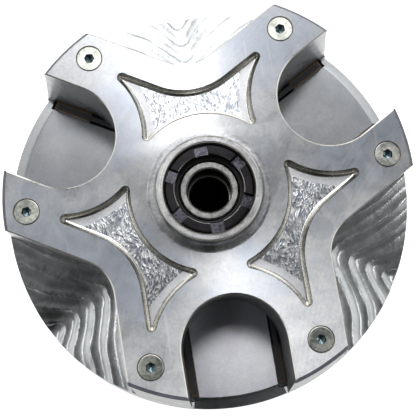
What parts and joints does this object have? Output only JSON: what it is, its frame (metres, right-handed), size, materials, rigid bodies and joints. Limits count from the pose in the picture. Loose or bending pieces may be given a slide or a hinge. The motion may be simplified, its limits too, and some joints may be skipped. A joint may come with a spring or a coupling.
{
  "type": "cvt drive clutch",
  "caption": "Belt CVT drive pulley: a fixed cone sheave on a bored shaft, a sliding sheave with arms, spider, flyweights and return spring under a star-shaped bolted cover.",
  "frame": {"origin": "on the shaft axis, at the flat engine-side face of the fixed sheave's hub", "axes": "+Z along the shaft, from the crankshaft end towards the cover; -Y through the middle of one pair of cover arms"},
  "size_m": [0.21, 0.21, 0.1565],
  "materials": {
    "turned_aluminium": "turned, fine concentric tool lines",
    "milled_aluminium": "milled, visible cutter passes",
    "cover_aluminium": "fly-cut satin, bright chamfers",
    "ground_steel": "ground",
    "dark_steel": "oiled steel",
    "blued_steel": "blued",
    "black_steel": "black oxide",
    "yellow_zinc": "pale yellow zinc plate",
    "flyweight_steel": "yellow zinc plate",
    "anodised_spider": "hard anodised",
    "spring_steel": "enamelled spring wire",
    "bronze": "sintered bronze",
    "brown_polymer": "moulded bearing polymer",
    "seal_rubber": "moulded"
  },
  "bodies": {
    "crank_side": {"fixed_sheave": "turned_aluminium", "shaft": "ground_steel", "spider": "anodised_spider", "spider_jam_nut": "dark_steel", "torque_pads": "brown_polymer", "roller_pin_1": "ground_steel", "roller_pin_2": "ground_steel", "roller_pin_3": "ground_steel", "spring_seat": "ground_steel", "primary_spring": "spring_steel"},
    "sliding_side": {"movable_sheave": "milled_aluminium", "sheave_bushing": "bronze", "flyweight_pin_1": "ground_steel", "flyweight_pin_2": "ground_steel", "flyweight_pin_3": "ground_steel", "pin_clips": "black_steel", "cover_plate": "cover_aluminium", "cover_screws": "yellow_zinc", "cover_bearing_shell": "dark_steel", "cover_bearing_liner": "bronze", "shaft_seal": "seal_rubber", "bearing_lock_nut": "blued_steel"},
    "roller_unit_1": {"roller_1": "ground_steel", "roller_bush_1": "bronze"},
    "flyweight_unit_1": {"flyweight_1": "flyweight_steel", "flyweight_bush_1": "bronze"},
    "roller_unit_2": {"roller_2": "ground_steel", "roller_bush_2": "bronze"},
    "flyweight_unit_2": {"flyweight_2": "flyweight_steel", "flyweight_bush_2": "bronze"},
    "roller_unit_3": {"roller_3": "ground_steel", "roller_bush_3": "bronze"},
    "flyweight_unit_3": {"flyweight_3": "flyweight_steel", "flyweight_bush_3": "bronze"}
  },
  "joints": [
    {"name": "shift_slide", "type": "slide", "parent": "crank_side", "child": "sliding_side", "axis": [0, 0, -1], "range_m": [0, 0.022], "stiffness_N_per_m": 12000, "springref_m": -0.02, "deforming": ["primary_spring"]},
    {"name": "roller_spin_1", "type": "hinge", "parent": "crank_side", "child": "roller_unit_1", "pos_m": [0, 0.05, 0.09215], "axis": [-1, 0, 0], "continuous": true},
    {"name": "flyweight_swing_1", "type": "hinge", "parent": "sliding_side", "child": "flyweight_unit_1", "pos_m": [0, 0.05, 0.079], "axis": [-1, 0, 0], "range_deg": [0, 45]},
    {"name": "roller_spin_2", "type": "hinge", "parent": "crank_side", "child": "roller_unit_2", "pos_m": [-0.0433, -0.025, 0.09215], "axis": [0.5, -0.866, 0], "continuous": true},
    {"name": "flyweight_swing_2", "type": "hinge", "parent": "sliding_side", "child": "flyweight_unit_2", "pos_m": [-0.0433, -0.025, 0.079], "axis": [0.5, -0.866, 0], "range_deg": [0, 45]},
    {"name": "roller_spin_3", "type": "hinge", "parent": "crank_side", "child": "roller_unit_3", "pos_m": [0.0433, -0.025, 0.09215], "axis": [0.5, 0.866, 0], "continuous": true},
    {"name": "flyweight_swing_3", "type": "hinge", "parent": "sliding_side", "child": "flyweight_unit_3", "pos_m": [0.0433, -0.025, 0.079], "axis": [0.5, 0.866, 0], "range_deg": [0, 45]}
  ],
  "couplings": [
    {"joint": "flyweight_swing_1", "follows": "shift_slide", "rad_per_m": 35.699},
    {"joint": "flyweight_swing_2", "follows": "shift_slide", "rad_per_m": 35.699},
    {"joint": "flyweight_swing_3", "follows": "shift_slide", "rad_per_m": 35.699}
  ]
}
